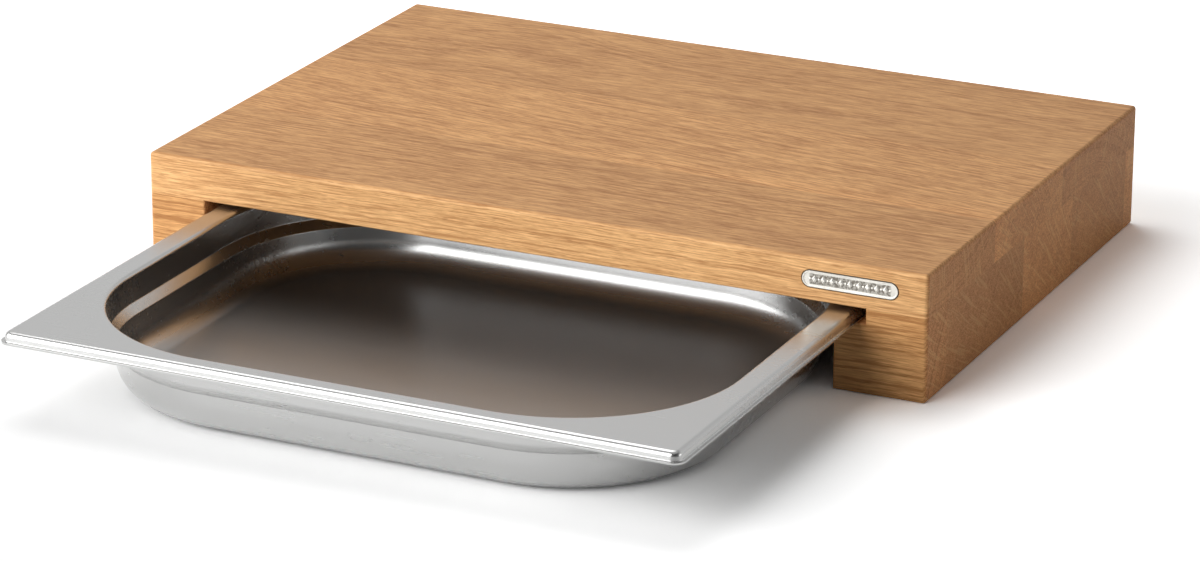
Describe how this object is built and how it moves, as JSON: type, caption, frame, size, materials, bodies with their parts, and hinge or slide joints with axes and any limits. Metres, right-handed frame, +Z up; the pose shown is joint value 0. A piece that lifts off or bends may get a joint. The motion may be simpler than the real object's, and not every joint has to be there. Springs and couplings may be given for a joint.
{
  "type": "cutting board with drawer tray",
  "caption": "Glued oak chopping block with a pressed stainless pan that slides out of grooves under its top as a drawer, shown partly drawn out.",
  "frame": {"origin": "on the table, under the middle of the whole object as it stands with its tray drawn out as far as in the rest pose", "axes": "+X to the right along the front edge, +Y from the front to the back, +Z up through the chopping face"},
  "size_m": [0.39, 0.4576, 0.06],
  "materials": {
    "oak": "oiled",
    "stainless": "satin",
    "badge": "antiqued"
  },
  "bodies": {
    "board": {"top_stave_front": "oak", "top_stave_middle": "oak", "top_stave_rear": "oak", "left_side_block_1": "oak", "left_side_block_2": "oak", "left_side_block_3": "oak", "left_side_block_4": "oak", "right_side_block_1": "oak", "right_side_block_2": "oak", "right_side_block_3": "oak", "right_side_block_4": "oak", "rear_rail": "oak", "nameplate": "badge"},
    "tray": {"tray": "stainless"}
  },
  "joints": [
    {"name": "tray_slide", "type": "slide", "parent": "board", "child": "tray", "axis": [0, -1, 0], "range_m": [-0.1785, 0.0775]}
  ]
}
